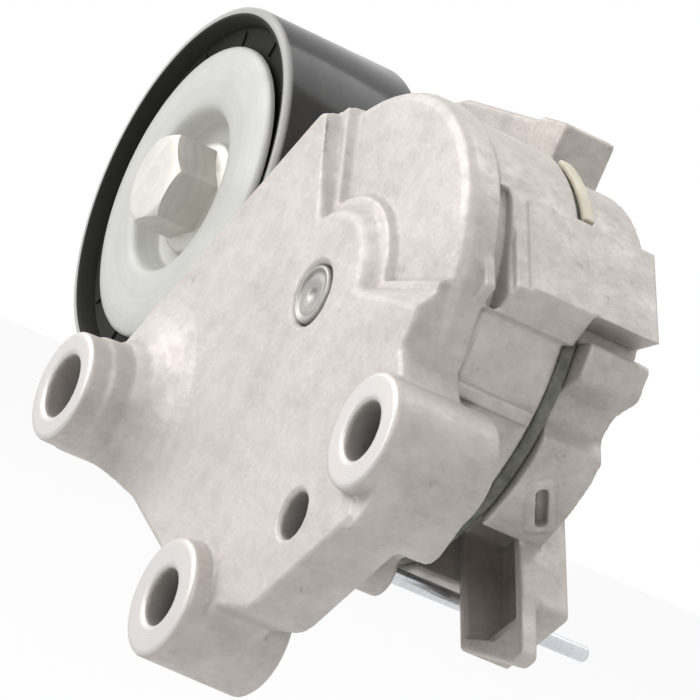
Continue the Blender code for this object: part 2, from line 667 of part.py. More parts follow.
def arm():
    hub_front = FLOOR_Y + WASHER_T + 2 * CLEAR
    body = prism("arm", disc_outline(), DISC_FRONT_Y, DISC_REAR_Y, 0.5 * MM)
    top_lug = rounded([
        (TOP_LUG_LEFT, SLOT_R, 0), (TOP_LUG_RIGHT, SLOT_R - 1 * MM, 0), (TOP_LUG_RIGHT, TOP_LUG_HIGH, 1 * MM),
        (TOP_LUG_LEFT + 1.5 * MM, TOP_LUG_HIGH, 1.5 * MM),
    ])
    join(
        body,
        rod("hub", HUB_OUT_R, hub_front, DISC_REAR_Y, segments=40),
        lathe("rear_pad", [
            (0, DISC_REAR_Y - 2 * MM), (HUB_OUT_R + 4 * MM, DISC_REAR_Y - 2 * MM),
            (HUB_OUT_R + 4 * MM, DISC_REAR_Y), (HUB_OUT_R + 1.5 * MM, NECK_REAR_Y),
            (0, NECK_REAR_Y),
        ], segments=40),
        prism("neck", neck_outline(), NECK_FRONT_Y, NECK_REAR_Y, CAST_EDGE),
        prism("top_lug", top_lug, NECK_FRONT_Y - 0.8 * MM, NECK_REAR_Y + 1.8 * MM, 0.6 * MM),
        bracket(),
        rod("pulley_seat", 11 * MM, seat_y(), NECK_FRONT_Y + 2 * MM, PULLEY, 32),
    )
    cut(
        body, *neck_pockets(), *bracket_openings(),
        rod("hub_bore", HUB_BORE_R, hub_front - 1 * MM, NECK_REAR_Y + 1 * MM, segments=40),
        rod("bolt_hole", BOLT_R + CLEAR, seat_y() - 1 * MM, NECK_REAR_Y + 1 * MM, PULLEY, 24),
    )
    return body


# Pivot, spring and damping

def pivot_shaft():
    seat = FLOOR_Y + CLEAR
    head = NECK_REAR_Y + 0.8 * MM + 2 * CLEAR
    profile = [
        (0, -0.2 * MM), (SHAFT_END_R - 0.8 * MM, -0.2 * MM), (SHAFT_END_R, 0.3 * MM),
        (SHAFT_END_R, seat), (SHAFT_R, seat), (SHAFT_R, head), (SHAFT_HEAD_R, head),
        (SHAFT_HEAD_R, head + SHAFT_HEAD_T - 0.8 * MM),
        (SHAFT_HEAD_R - 0.8 * MM, head + SHAFT_HEAD_T),
        (4 * MM, head + SHAFT_HEAD_T), (3.2 * MM, head + SHAFT_HEAD_T - 1.4 * MM),
        (0, head + SHAFT_HEAD_T - 1.4 * MM),
    ]
    return lathe("pivot_shaft", profile, segments=28)


def bushes():
    """Two plain bushes, pressed into the ends of the arm's hub."""
    inner = SHAFT_R + 0.2 * MM
    outer = HUB_BORE_R - 0.2 * MM
    hub_front = FLOOR_Y + WASHER_T + 2 * CLEAR
    return [
        tube("front_bush", inner, outer, hub_front, hub_front + BUSH_LENGTH, segments=24),
        tube("rear_bush", inner, outer, NECK_REAR_Y - BUSH_LENGTH, NECK_REAR_Y, segments=24),
    ]


def torsion_spring():
    """Round wire wound between the drum's floor and the arm's disc."""
    start = FLOOR_Y + CLEAR + WIRE_R
    end = DISC_FRONT_Y - CLEAR - WIRE_R
    steps_per_turn = 20
    sides = 6
    steps = round(COIL_TURNS * steps_per_turn)
    first = math.radians(200)
    bm = bmesh.new()
    rings = []
    for i in range(steps + 1):
        share = i / steps
        angle = first - 2 * math.pi * COIL_TURNS * share
        out = Vector((math.cos(angle), 0, math.sin(angle)))
        centre = out * COIL_R + Vector((0, start + (end - start) * share, 0))
        turn = [2 * math.pi * k / sides for k in range(sides)]
        rings.append([
            bm.verts.new(centre + WIRE_R * (math.cos(t) * out + math.sin(t) * Vector((0, 1, 0))))
            for t in turn
        ])
    for ring, following in zip(rings, rings[1:]):
        for k in range(sides):
            nearby = (k + 1) % sides
            bm.faces.new((ring[k], ring[nearby], following[nearby], following[k]))
    bm.faces.new(rings[0])
    bm.faces.new(rings[-1])
    return place("torsion_spring", bm)


def open_ring(name, profile, start, end, steps):
    """Turn a closed profile through part of a turn and close its two ends."""
    bm = bmesh.new()
    rings = []
    for i in range(steps + 1):
        angle = start + (end - start) * i / steps
        c, s = math.cos(angle), math.sin(angle)
        rings.append([bm.verts.new((r * c, y, r * s)) for r, y in profile])
    count = len(profile)
    for ring, following in zip(rings, rings[1:]):
        for k in range(count):
            nearby = (k + 1) % count
            bm.faces.new((ring[k], ring[nearby], following[nearby], following[k]))
    bm.faces.new(rings[0])
    bm.faces.new(rings[-1])
    return place(name, bm)


def damper_band():
    """Nylon band inside the drum, open at one place, where its end hooks over the rim."""
    inner = BAND_IN_R
    outer = CAVITY_R - CLEAR
    front = FLOOR_Y + 2 * MM
    rear = DRUM_END_Y - 0.4 * MM
    profile = [(inner, front), (outer, front), (outer, rear), (inner, rear)]
    end = math.radians(76)
    return open_ring("damper_band", profile, end, end + 2 * math.pi - BAND_GAP, 40)


def friction_ring():
    """Dark ring between the drum's open end and the arm's disc."""
    front = DRUM_END_Y + CLEAR
    return tube(
        "friction_ring", BAND_IN_R, RING_OUT_R, front, front + RING_T, segments=44
    )


# Pulley and its bearing

def seat_y():
    """Front face of the arm's seat for the pulley, where the spacer ends."""
    return BEARING_FRONT_Y + BEARING_WIDTH + SEAT_STEP


def pulley_body():
    front = PULLEY_FRONT_Y
    rear = front + PULLEY_WIDTH
    edge = 0.8 * MM
    rim = PULLEY_R - RIM_WALL
    web_front = front + WEB_Y
    web_rear = web_front + WEB_T
    hub_r = BEARING_OUT_R + CLEAR
    hub_rear = BEARING_FRONT_Y + BEARING_WIDTH + 2 * MM
    profile = [
        (PULLEY_R - edge, front), (PULLEY_R, front + edge), (PULLEY_R, rear - edge),
        (PULLEY_R - edge, rear), (rim + 0.4 * MM, rear), (rim - 0.5 * MM, web_rear),
        (hub_r + 4 * MM, web_rear), (hub_r + 3.2 * MM, hub_rear), (hub_r, hub_rear),
        (hub_r, BEARING_FRONT_Y - CLEAR), (hub_r - 1.6 * MM, BEARING_FRONT_Y - CLEAR),
        (hub_r - 1.6 * MM, web_front + 0.8 * MM), (hub_r + 0.4 * MM, web_front),
        (rim - 0.4 * MM, web_front), (rim + 0.5 * MM, front),
    ]
    body = lathe("pulley_body", profile, PULLEY, 60)
    for k in range(PULLEY_RIBS):
        angle = 2 * math.pi * (k + 0.3) / PULLEY_RIBS
        rib = rib_box(hub_r + 2 * MM, rim + 0.8 * MM, 1.1 * MM, web_rear - 1 * MM, hub_rear - 2 * MM, angle)
        join(body, rib)
    return body


def rib_box(inner, outer, half, front, rear, angle):
    """A radial rib of the pulley."""
    bm = bmesh.new()
    bmesh.ops.create_cube(bm, size=1.0)
    size = Matrix.Diagonal((outer - inner, rear - front, 2 * half, 1.0))
    middle = Matrix.Translation(((outer + inner) / 2, (front + rear) / 2, 0))
    turn = Matrix.Rotation(-angle, 4, "Y")
    bmesh.ops.transform(bm, matrix=turn @ middle @ size, verts=bm.verts)
    return place("rib", bm, PULLEY)


def groove(radius, centre_r, side):
    """Points of a ball groove, seen in the profile: side is 1 outside the balls, -1 inside."""
    reach = BALL_R + CLEAR
    half = math.acos(min(1.0, abs(radius - centre_r) / reach))
    steps = 4
    turns = [half - 2 * half * k / steps for k in range(steps + 1)]
    return [(centre_r + side * reach * math.cos(t), BALL_Y + reach * math.sin(t)) for t in turns]


def races():
    front = BEARING_FRONT_Y
    rear = front + BEARING_WIDTH
    seal = SEAL_T + 0.6 * MM
    step = 0.8 * MM
    outer = [
        (RACE_OUT_R + step, front), (BEARING_OUT_R, front), (BEARING_OUT_R, rear),
        (RACE_OUT_R + step, rear), (RACE_OUT_R + step, rear - seal), (RACE_OUT_R, rear - seal),
        *groove(RACE_OUT_R, BALL_CENTRE_R, 1),
        (RACE_OUT_R, front + seal), (RACE_OUT_R + step, front + seal),
    ]
    inner = [
        (BEARING_IN_R, front), (RACE_IN_R, front), *reversed(groove(RACE_IN_R, BALL_CENTRE_R, -1)),
        (RACE_IN_R, rear), (BEARING_IN_R, rear),
    ]
    return [
        lathe("outer_race", outer, PULLEY, 30),
        lathe("inner_race", inner, PULLEY, 24),
    ]


def balls():
    """The balls of the bearing, each its own piece on its own place round the axis."""
    made = []
    for k in range(BALLS):
        angle = 2 * math.pi * k / BALLS
        bm = bmesh.new()
        bmesh.ops.create_uvsphere(bm, u_segments=10, v_segments=6, radius=BALL_R)
        shift = (BALL_CENTRE_R * math.cos(angle), BALL_Y, BALL_CENTRE_R * math.sin(angle))
        bmesh.ops.translate(bm, verts=bm.verts, vec=shift)
        made.append(place(f"ball_{k + 1}", bm, PULLEY))
    return made


def ball_cage():
    """Crown cage: a ring behind the balls, with a pocket for each."""
    half = 0.13 * RACE_ROOM
    front = BALL_Y + 0.2 * MM
    rear = BEARING_FRONT_Y + BEARING_WIDTH - SEAL_T - 1.2 * MM
    cage = tube("ball_cage", BALL_CENTRE_R - half, BALL_CENTRE_R + half, front, rear, PULLEY, 48)
    for k in range(BALLS):
        angle = 2 * math.pi * k / BALLS
        bm = bmesh.new()
        bmesh.ops.create_uvsphere(bm, u_segments=12, v_segments=8, radius=BALL_R + CLEAR)
        shift = (BALL_CENTRE_R * math.cos(angle), BALL_Y, BALL_CENTRE_R * math.sin(angle))
        bmesh.ops.translate(bm, verts=bm.verts, vec=shift)
        cut(cage, place("pocket", bm, PULLEY))
    return cage


def seals():
    inner = RACE_IN_R + CLEAR
    outer = RACE_OUT_R + 0.8 * MM - CLEAR
    front = BEARING_FRONT_Y + 0.2 * MM
    rear = BEARING_FRONT_Y + BEARING_WIDTH - 0.2 * MM
    return [
        tube("front_seal", inner, outer, front, front + SEAL_T, PULLEY, 24),
        tube("rear_seal", inner, outer, rear - SEAL_T, rear, PULLEY, 24),
    ]


def dust_cap():
    """Pressed cap with a round well for the bolt's head."""
    rim = CAP_R
    hole = BOLT_R + CLEAR
    profile = [
        (hole, WELL_Y), (WELL_FLOOR_R, WELL_Y), (WELL_R - 0.9 * MM, CAP_Y + 0.9 * MM),
        (WELL_R + 0.9 * MM, CAP_Y), (rim - 1.6 * MM, CAP_Y + 0.3 * MM), (rim - 0.4 * MM, CAP_Y + 0.7 * MM),
        (rim, CAP_Y + 1.2 * MM), (rim - 0.9 * MM, CAP_Y + 1.6 * MM),
        (rim - 1.8 * MM, CAP_Y + 0.3 * MM + CAP_T), (WELL_R + 1.2 * MM, CAP_Y + CAP_T),
        (WELL_R - 0.1 * MM, CAP_Y + 0.9 * MM + CAP_T), (WELL_FLOOR_R + 0.6 * MM, WELL_Y + CAP_T),
        (hole, WELL_Y + CAP_T),
    ]
    return lathe("dust_cap", profile, PULLEY, 44)


def pulley_bolt():
    """Hex bolt with a round flange; its head stands in the cap's well."""
    under = WELL_Y - CLEAR
    flange_front = under - FLANGE_T
    top = flange_front - HEAD_T
    corner = HEAD_AF / 2 / math.cos(math.pi / 6)
    hexagon = arc((0, 0), corner, math.radians(8), math.radians(308), 5)
    bm = bmesh.new()
    face = bm.faces.new([bm.verts.new((x, flange_front + 0.5 * MM, z)) for x, z in hexagon])
    grown = bmesh.ops.extrude_face_region(bm, geom=[face], use_keep_orig=True)
    moved = [item for item in grown["geom"] if isinstance(item, bmesh.types.BMVert)]
    bmesh.ops.translate(bm, verts=moved, vec=(0, top - flange_front - 0.5 * MM, 0))
    head = place("pulley_bolt", bm, PULLEY)
    crown = [
        (0, top), (HEAD_AF / 2 - 0.4 * MM, top), (corner + 0.3 * MM, top + 1.0 * MM),
        (corner + 0.3 * MM, flange_front + 1 * MM), (0, flange_front + 1 * MM),
    ]
    combine(head, lathe("crown", crown, PULLEY, 48), "INTERSECT")
    tip = NECK_REAR_Y - 1 * MM
    shank = [
        (0, flange_front + 0.3 * MM), (HEAD_AF / 2, flange_front), (FLANGE_R, flange_front + 0.9 * MM),
        (FLANGE_R, under), (BOLT_R, under), (BOLT_R, tip - 1 * MM), (BOLT_R - 1 * MM, tip), (0, tip),
    ]
    join(head, lathe("shank", shank, PULLEY, 40))
    return head


def spacer():
    """Steel sleeve in the bearing, clamped between the cap and the arm's seat."""
    front = WELL_Y + CAP_T + CLEAR
    return tube(
        "bearing_spacer", BOLT_R + CLEAR, BEARING_IN_R - CLEAR, front, seat_y() - CLEAR, PULLEY, 24
    )


def rear_shield():
    rear = BEARING_FRONT_Y + BEARING_WIDTH
    return tube(
        "rear_shield", BEARING_IN_R, BEARING_OUT_R - 0.6 * MM, rear + 0.4 * MM, rear + 1.4 * MM,
        PULLEY, 28,
    )


def build():
    clear_scene()
    cast = material("cast_aluminium", (0.70, 0.67, 0.65), 0.5, 0.9)
    steel = material("turned_steel", (0.62, 0.61, 0.59), 0.3, 1.0)
    zinc = material("zinc_cap", (0.84, 0.85, 0.83), 0.35, 0.6)
    black = material("black_nylon", (0.05, 0.048, 0.046), 0.45, 0.0)
    cream = material("cream_nylon", (0.78, 0.74, 0.58), 0.5, 0.0)
    bronze = material("bronze_bush", (0.55, 0.42, 0.22), 0.35, 1.0)
    rubber = material("dark_rubber", (0.04, 0.04, 0.04), 0.7, 0.0)

    finish(base_housing(), cast)
    finish(pivot_shaft(), steel)
    finish(tube(
        "thrust_washer", SHAFT_R + CLEAR, HUB_OUT_R, FLOOR_Y + CLEAR, FLOOR_Y + CLEAR + WASHER_T, segments=24
    ), black)
    finish(tube(
        "rear_washer", SHAFT_R + CLEAR, SHAFT_HEAD_R + 1.2 * MM, NECK_REAR_Y + CLEAR,
        NECK_REAR_Y + CLEAR + 0.8 * MM, segments=28,
    ), steel)
    finish(damper_band(), cream)
    finish(friction_ring(), black)
    finish(torsion_spring(), steel)
    pin_profile = [
        (0, PIN_START_Y), (PIN_R - 0.4 * MM, PIN_START_Y), (PIN_R, PIN_START_Y + 0.4 * MM),
        (PIN_R, PIN_END_Y - 0.4 * MM), (PIN_R - 0.4 * MM, PIN_END_Y), (0, PIN_END_Y),
    ]
    finish(lathe("lock_pin", pin_profile, PIN, 16), steel)

    carrier = finish(arm(), cast)
    for bush in bushes():
        finish(bush, bronze, carrier)
    for piece, made_of in (
        (dust_cap(), zinc), (pulley_bolt(), steel), (spacer(), steel), (rear_shield(), steel),
    ):
        finish(piece, made_of, carrier)
    outer, inner = races()
    finish(inner, steel, carrier)
    wheel = finish(pulley_body(), black, carrier)
    for piece, made_of in ((outer, steel), *((seal, rubber) for seal in seals())):
        finish(piece, made_of, wheel)
    cage = finish(ball_cage(), black, carrier)
    for ball in balls():
        finish(ball, steel, cage)


build()
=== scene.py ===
"""Looks of the drive belt tensioner with its idler pulley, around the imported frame."""
import math

import bpy
from mathutils import Matrix, Vector


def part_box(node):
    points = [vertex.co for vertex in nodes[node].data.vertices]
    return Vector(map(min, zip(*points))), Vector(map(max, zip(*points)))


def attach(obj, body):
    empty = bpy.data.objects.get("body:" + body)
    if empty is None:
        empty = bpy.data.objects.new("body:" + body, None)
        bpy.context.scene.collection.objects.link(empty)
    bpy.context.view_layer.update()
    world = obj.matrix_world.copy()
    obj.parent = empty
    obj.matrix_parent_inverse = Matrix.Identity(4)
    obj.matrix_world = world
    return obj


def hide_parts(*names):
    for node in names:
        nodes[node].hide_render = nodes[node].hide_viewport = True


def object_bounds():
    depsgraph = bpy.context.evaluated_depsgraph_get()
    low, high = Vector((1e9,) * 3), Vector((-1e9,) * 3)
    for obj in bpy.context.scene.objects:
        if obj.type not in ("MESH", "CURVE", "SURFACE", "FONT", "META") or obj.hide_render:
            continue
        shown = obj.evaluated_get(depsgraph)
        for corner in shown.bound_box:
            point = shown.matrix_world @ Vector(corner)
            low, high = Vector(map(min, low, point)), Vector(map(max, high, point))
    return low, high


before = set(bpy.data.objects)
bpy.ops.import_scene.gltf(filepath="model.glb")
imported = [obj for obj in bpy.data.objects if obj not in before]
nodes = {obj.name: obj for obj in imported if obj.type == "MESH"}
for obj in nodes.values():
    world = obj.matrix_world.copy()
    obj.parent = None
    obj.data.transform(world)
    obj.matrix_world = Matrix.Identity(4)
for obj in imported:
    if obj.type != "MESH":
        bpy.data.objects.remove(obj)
cad_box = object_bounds()
MM = 0.001

# Stage: a pale floor well below the part and a white room that only the camera and
# shiny metal see, with a broad soft lamp in front and weak ones at the side and above.
SKY_LIGHT = 0.62
FLOOR_DROP = 0.06
FLOOR_WHITE = 0.93


def mix_node(tree, kind, factor, first, second):
    """A Mix node of that kind; each input is a link's source or a plain value."""
    node = tree.nodes.new("ShaderNodeMix")
    node.data_type = kind
    spot = {"FLOAT": (2, 3, 0), "RGBA": (6, 7, 2)}[kind]
    for socket, value in zip((0, spot[0], spot[1]), (factor, first, second)):
        if isinstance(value, bpy.types.NodeSocket):
            tree.links.new(value, node.inputs[socket])
        else:
            node.inputs[socket].default_value = value
    return node.outputs[spot[2]]


def calculate(tree, operation, first, second=0.0):
    """A Math node; each input is a link's source or a plain number."""
    node = tree.nodes.new("ShaderNodeMath")
    node.operation = operation
    for socket, value in zip(node.inputs, (first, second)):
        if isinstance(value, bpy.types.NodeSocket):
            tree.links.new(value, socket)
        else:
            socket.default_value = value
    return node.outputs[0]


def seen_white(tree):
    """1 for rays of the camera, of gloss and of glass, which see plain white."""
    path = tree.nodes.new("ShaderNodeLightPath")
    seen, mirrored = path.outputs["Is Camera Ray"], path.outputs["Is Glossy Ray"]
    gloss = calculate(tree, "MAXIMUM", seen, mirrored)
    return calculate(tree, "MAXIMUM", gloss, path.outputs["Is Transmission Ray"])


def white_room():
    """A world that is white to look at, and lights the part from pale above to grey below."""
    world = bpy.data.worlds.new("white_room")
    bpy.context.scene.world = world
    world.use_nodes = True
    tree = world.node_tree
    tree.nodes.clear()
    out = tree.nodes.new("ShaderNodeOutputWorld")
    seen = tree.nodes.new("ShaderNodeBackground")
    seen.inputs["Color"].default_value = (1, 1, 1, 1)
    seen.inputs["Strength"].default_value = 1.0
    coord = tree.nodes.new("ShaderNodeTexCoord")
    parts = tree.nodes.new("ShaderNodeSeparateXYZ")
    tree.links.new(coord.outputs["Generated"], parts.inputs[0])
    height = tree.nodes.new("ShaderNodeMapRange")
    height.inputs["From Min"].default_value = -0.7
    height.inputs["From Max"].default_value = 0.9
    tree.links.new(parts.outputs["Z"], height.inputs["Value"])
    grey = mix_node(
        tree, "RGBA", height.outputs[0], (0.17, 0.162, 0.16, 1), (0.80, 0.81, 0.82, 1)
    )
    soft = tree.nodes.new("ShaderNodeBackground")
    soft.inputs["Strength"].default_value = SKY_LIGHT
    tree.links.new(grey, soft.inputs["Color"])
    choose = tree.nodes.new("ShaderNodeMixShader")
    tree.links.new(seen_white(tree), choose.inputs[0])
    tree.links.new(soft.outputs[0], choose.inputs[1])
    tree.links.new(seen.outputs[0], choose.inputs[2])
    tree.links.new(choose.outputs[0], out.inputs["Surface"])


def pale_floor():
    """A matt floor that keeps the part's shadow and looks almost white."""
    material = bpy.data.materials.new("pale_floor")
    material.use_nodes = True
    tree = material.node_tree
    tree.nodes.clear()
    out = tree.nodes.new("ShaderNodeOutputMaterial")
    matt = tree.nodes.new("ShaderNodeBsdfDiffuse")
    matt.inputs["Color"].default_value = (0.86, 0.86, 0.86, 1)
    glow = tree.nodes.new("ShaderNodeEmission")
    glow.inputs["Strength"].default_value = 1.0
    choose = tree.nodes.new("ShaderNodeMixShader")
    tree.links.new(calculate(tree, "MULTIPLY", seen_white(tree), FLOOR_WHITE), choose.inputs[0])
    tree.links.new(matt.outputs[0], choose.inputs[1])
    tree.links.new(glow.outputs[0], choose.inputs[2])
    tree.links.new(choose.outputs[0], out.inputs["Surface"])
    bpy.ops.mesh.primitive_plane_add(size=8.0, location=(0, 0, cad_box[0][2] - FLOOR_DROP))
    floor = bpy.context.active_object
    floor.name = "floor"
    floor.data.materials.append(material)


def lamp(name, spot, size, power):
    """A round soft lamp that points at the pivot."""
    data = bpy.data.lights.new(name, "AREA")
    data.shape = "DISK"
    data.size = size
    data.energy = power
    item = bpy.data.objects.new(name, data)
    bpy.context.collection.objects.link(item)
    item.location = spot
    item.rotation_euler = (-Vector(spot)).to_track_quat("-Z", "Y").to_euler()


white_room()
pale_floor()
lamp("front_lamp", (-0.7, -1.0, 0.6), 1.5, 15.5)
lamp("side_lamp", (0.95, -0.6, 0.95), 0.8, 4.0)
lamp("top_lamp", (-0.3, 0.5, 1.2), 0.8, 4.0)
bpy.context.scene.view_settings.view_transform = "Standard"

# Camera: to the right of the part's front and level with it, rolled so that the part
# hangs at an angle in the frame, as in the photograph.
RIGHT = Vector((0.40094, 0.82204, 0.40434))
UP = Vector((-0.17725, -0.36342, 0.91461))
FORWARD = Vector((-0.89879, 0.43837, 0.0))
CAMERA_AT = (0.71406, -0.33687, -0.00631)
camera_data = bpy.data.cameras.new("camera")
camera_data.sensor_width = 36.0
camera_data.lens = 231.43
camera_data.clip_start = 0.02
camera = bpy.data.objects.new("camera", camera_data)
bpy.context.collection.objects.link(camera)
turn = Matrix((RIGHT, UP, -FORWARD)).transposed().to_4x4()
camera.matrix_world = Matrix.Translation(CAMERA_AT) @ turn
bpy.context.scene.camera = camera

# Cast base: aluminium die casting with plate, drum, bosses and stop block. It leaves
# the die with rounded edges and a blotchy skin; only the boss faces are machined. A
# groove parts the stop block from the drum's front band.
CAST_GRAIN = 0.42 * MM
ARC_STEPS = 36
MOST_FACES, KEPT_FACES = 190000, 185000


def start_piece(item):
    """Select only this object and make it active."""
    bpy.ops.object.select_all(action="DESELECT")
    item.select_set(True)
    bpy.context.view_layer.objects.active = item


def apply_modifiers(item):
    """Apply all modifiers of an object, in their order."""
    start_piece(item)
    for change in list(item.modifiers):
        bpy.ops.object.modifier_apply(modifier=change.name)


def combine(item, other, operation="UNION"):
    """Join another piece to this one, cut it away or keep what they share, and drop it."""
    change = item.modifiers.new("combine", "BOOLEAN")
    change.operation = operation
    change.solver = "EXACT"
    change.object = other
    apply_modifiers(item)
    bpy.data.objects.remove(other, do_unlink=True)


def arc_strip(name, thick, width, radius, middle, start, end):
    """A strip of rectangular section that runs round the pivot between two angles. Sizes
    are in mm, middle is its Y, and the angles are in degrees."""
    start, end = math.radians(start), math.radians(end)
    bpy.ops.mesh.primitive_plane_add(size=1.0, rotation=(0, math.pi / 2, 0))
    item = bpy.context.active_object
    item.name = name
    item.scale = (thick * MM, width * MM, 1.0)
    bpy.ops.object.transform_apply(location=True, rotation=True, scale=True)
    there = Matrix.Rotation(-start, 4, "Y") @ Matrix.Translation((radius * MM, middle * MM, 0))
    item.data.transform(there @ Matrix.Rotation(math.pi / 2, 4, "Y"))
    bpy.ops.object.mode_set(mode="EDIT")
    bpy.ops.mesh.select_all(action="SELECT")
    bpy.ops.mesh.spin(
        steps=ARC_STEPS, angle=end - start, center=(0, 0, 0), axis=(0, 1, 0),
        use_auto_merge=False,
    )
    bpy.ops.mesh.select_all(action="SELECT")
    bpy.ops.mesh.remove_doubles(threshold=1e-6)
    bpy.ops.mesh.normals_make_consistent(inside=False)
    bpy.ops.object.mode_set(mode="OBJECT")
    return item


def rounded_casting(node, name, changes):
    """A merged copy of a solid, whose edges are rounded as those of a casting are. changes
    lists small forms to join or cut first, as (object, operation)."""
    piece = bpy.data.objects.new(name, nodes[node].data.copy())
    bpy.context.collection.objects.link(piece)
    start_piece(piece)
    bpy.ops.object.mode_set(mode="EDIT")
    bpy.ops.mesh.select_all(action="SELECT")
    bpy.ops.mesh.remove_doubles(threshold=1e-6)
    bpy.ops.object.mode_set(mode="OBJECT")
    for other, operation in changes:
        combine(piece, other, operation)
    skin = piece.modifiers.new("skin", "REMESH")
    skin.mode = "VOXEL"
    skin.voxel_size = CAST_GRAIN
    skin.use_smooth_shade = True
    soft = piece.modifiers.new("soft", "SMOOTH")
    soft.factor = 0.5
    soft.iterations = 2
    apply_modifiers(piece)
    faces = 2 * len(piece.data.polygons)
    if faces > MOST_FACES:
        fewer = piece.modifiers.new("fewer", "DECIMATE")
        fewer.ratio = KEPT_FACES / faces
        apply_modifiers(piece)
    bpy.ops.object.shade_smooth()
    return piece


def place_piece(item, body, slot, material, *replaced):
    """Give a finished piece its material and tell the frame where it belongs."""
    item.data.materials.clear()
    item.data.materials.append(material)
    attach(item, body)
    if replaced:
        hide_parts(*replaced)


def group_sockets(tree, inputs, outputs):
    """Named sockets of a node group: colours, numbers and vectors."""
    kinds = {"c": "NodeSocketColor", "f": "NodeSocketFloat", "v": "NodeSocketVector"}
    for name, kind, value in inputs:
        socket = tree.interface.new_socket(name, in_out="INPUT", socket_type=kinds[kind])
        socket.default_value = value
    for name, kind in outputs:
        tree.interface.new_socket(name, in_out="OUTPUT", socket_type=kinds[kind])
    return tree.nodes.new("NodeGroupInput"), tree.nodes.new("NodeGroupOutput")


def noise(tree, vector, scale, detail=4.0, rough=0.55, twist=0.0):
    """Noise at a place; its scale is a number or a link's source."""
    node = tree.nodes.new("ShaderNodeTexNoise")
    node.inputs["Detail"].default_value = detail
    node.inputs["Roughness"].default_value = rough
    node.inputs["Distortion"].default_value = twist
    tree.links.new(vector, node.inputs["Vector"])
    if isinstance(scale, bpy.types.NodeSocket):
        tree.links.new(scale, node.inputs["Scale"])
    else:
        node.inputs["Scale"].default_value = scale
    return node.outputs["Fac"]


def sharpen(tree, value, low, high, bottom=0.0, top=1.0):
    """Spread a mask between two limits."""
    node = tree.nodes.new("ShaderNodeMapRange")
    node.inputs["From Min"].default_value = low
    node.inputs["From Max"].default_value = high
    node.inputs["To Min"].default_value = bottom
    node.inputs["To Max"].default_value = top
    tree.links.new(value, node.inputs["Value"])
    return node.outputs[0]


def stretched(tree, vector, scale):
    """Coordinates scaled along each axis, which draws a pattern out."""
    node = tree.nodes.new("ShaderNodeMapping")
    node.inputs["Scale"].default_value = scale
    tree.links.new(vector, node.inputs["Vector"])
    return node.outputs[0]


def cast_skin_group():
    """Skin of a die casting: blotches, flow streaks, dark pores, bright worn edges and painted
    shade in its creases.
    """
    tree = bpy.data.node_groups.new("cast_skin", "ShaderNodeTree")
    first, last = group_sockets(
        tree,
        [
            ("Coordinates", "v", (0, 0, 0)), ("Light", "c", (0.7, 0.7, 0.7, 1)),
            ("Dark", "c", (0.4, 0.4, 0.4, 1)), ("Edge", "c", (0.8, 0.8, 0.8, 1)),
            ("Wear", "f", 0.6),
        ],
        [("Colour", "c"), ("Roughness", "f"), ("Height", "f")],
    )
    spot = first.outputs["Coordinates"]
    blotch = sharpen(tree, noise(tree, spot, 48.0, 5.0, 0.6, 0.5), 0.34, 0.68)
    mottle = sharpen(tree, noise(tree, spot, 210.0, 3.0, 0.6), 0.36, 0.66)
    flow = stretched(tree, spot, (38, 90, 260))
    streak = sharpen(tree, noise(tree, flow, 1.0, 4.0), 0.38, 0.66)
    grit = sharpen(tree, noise(tree, spot, 620.0, 4.0, 0.7), 0.34, 0.66)
    speck = sharpen(tree, noise(tree, spot, 420.0, 2.0, 0.5), 0.70, 0.78, 0.0, 0.45)
    tone = calculate(tree, "MULTIPLY", blotch, 0.38)
    for mask, share in ((mottle, 0.24), (streak, 0.16), (grit, 0.26)):
        tone = calculate(tree, "ADD", tone, calculate(tree, "MULTIPLY", mask, share))
    colour = mix_node(tree, "RGBA", tone, first.outputs["Light"], first.outputs["Dark"])
    colour = mix_node(tree, "RGBA", speck, colour, (0.25, 0.22, 0.205, 1))
    shape = tree.nodes.new("ShaderNodeNewGeometry")
    edge = sharpen(tree, shape.outputs["Pointiness"], 0.52, 0.62)
    edge = calculate(tree, "MULTIPLY", edge, first.outputs["Wear"])
    colour = mix_node(tree, "RGBA", edge, colour, first.outputs["Edge"])
    # Painted shade: creases and inner corners, found by low pointiness, are darkened where shade
    # falls.
    crease_painted_shade = sharpen(tree, shape.outputs["Pointiness"], 0.492, 0.455, 0.0, 0.7)
    colour = mix_node(tree, "RGBA", crease_painted_shade, colour, (0.27, 0.25, 0.235, 1))
    tree.links.new(colour, last.inputs["Colour"])
    rough = sharpen(tree, tone, 0.2, 0.8, 0.5, 0.68)
    rough = calculate(tree, "SUBTRACT", rough, calculate(tree, "MULTIPLY", edge, 0.1))
    tree.links.new(rough, last.inputs["Roughness"])
    height = calculate(tree, "ADD", calculate(tree, "MULTIPLY", grit, 0.7), mottle)
    height = calculate(tree, "SUBTRACT", height, calculate(tree, "MULTIPLY", speck, 0.6))
    tree.links.new(height, last.inputs["Height"])
    return tree


def new_material(name, metallic, roughness):
    """A material with a Principled shader, its tree, and the shader."""
    material = bpy.data.materials.new(name)
    material.use_nodes = True
    tree = material.node_tree
    shader = tree.nodes["Principled BSDF"]
    shader.inputs["Metallic"].default_value = metallic
    shader.inputs["Roughness"].default_value = roughness
    return material, tree, shader


def object_coordinates(tree):
    """Places on the piece, in metres from the pivot."""
    return tree.nodes.new("ShaderNodeTexCoord").outputs["Object"]


def bump(tree, shader, height, strength, distance):
    """Relief from a height, in metres at its full value."""
    node = tree.nodes.new("ShaderNodeBump")
    node.inputs["Strength"].default_value = strength
    node.inputs["Distance"].default_value = distance
    tree.links.new(height, node.inputs["Height"])
    tree.links.new(node.outputs[0], shader.inputs["Normal"])


RING_BLUR = 0.2 * MM


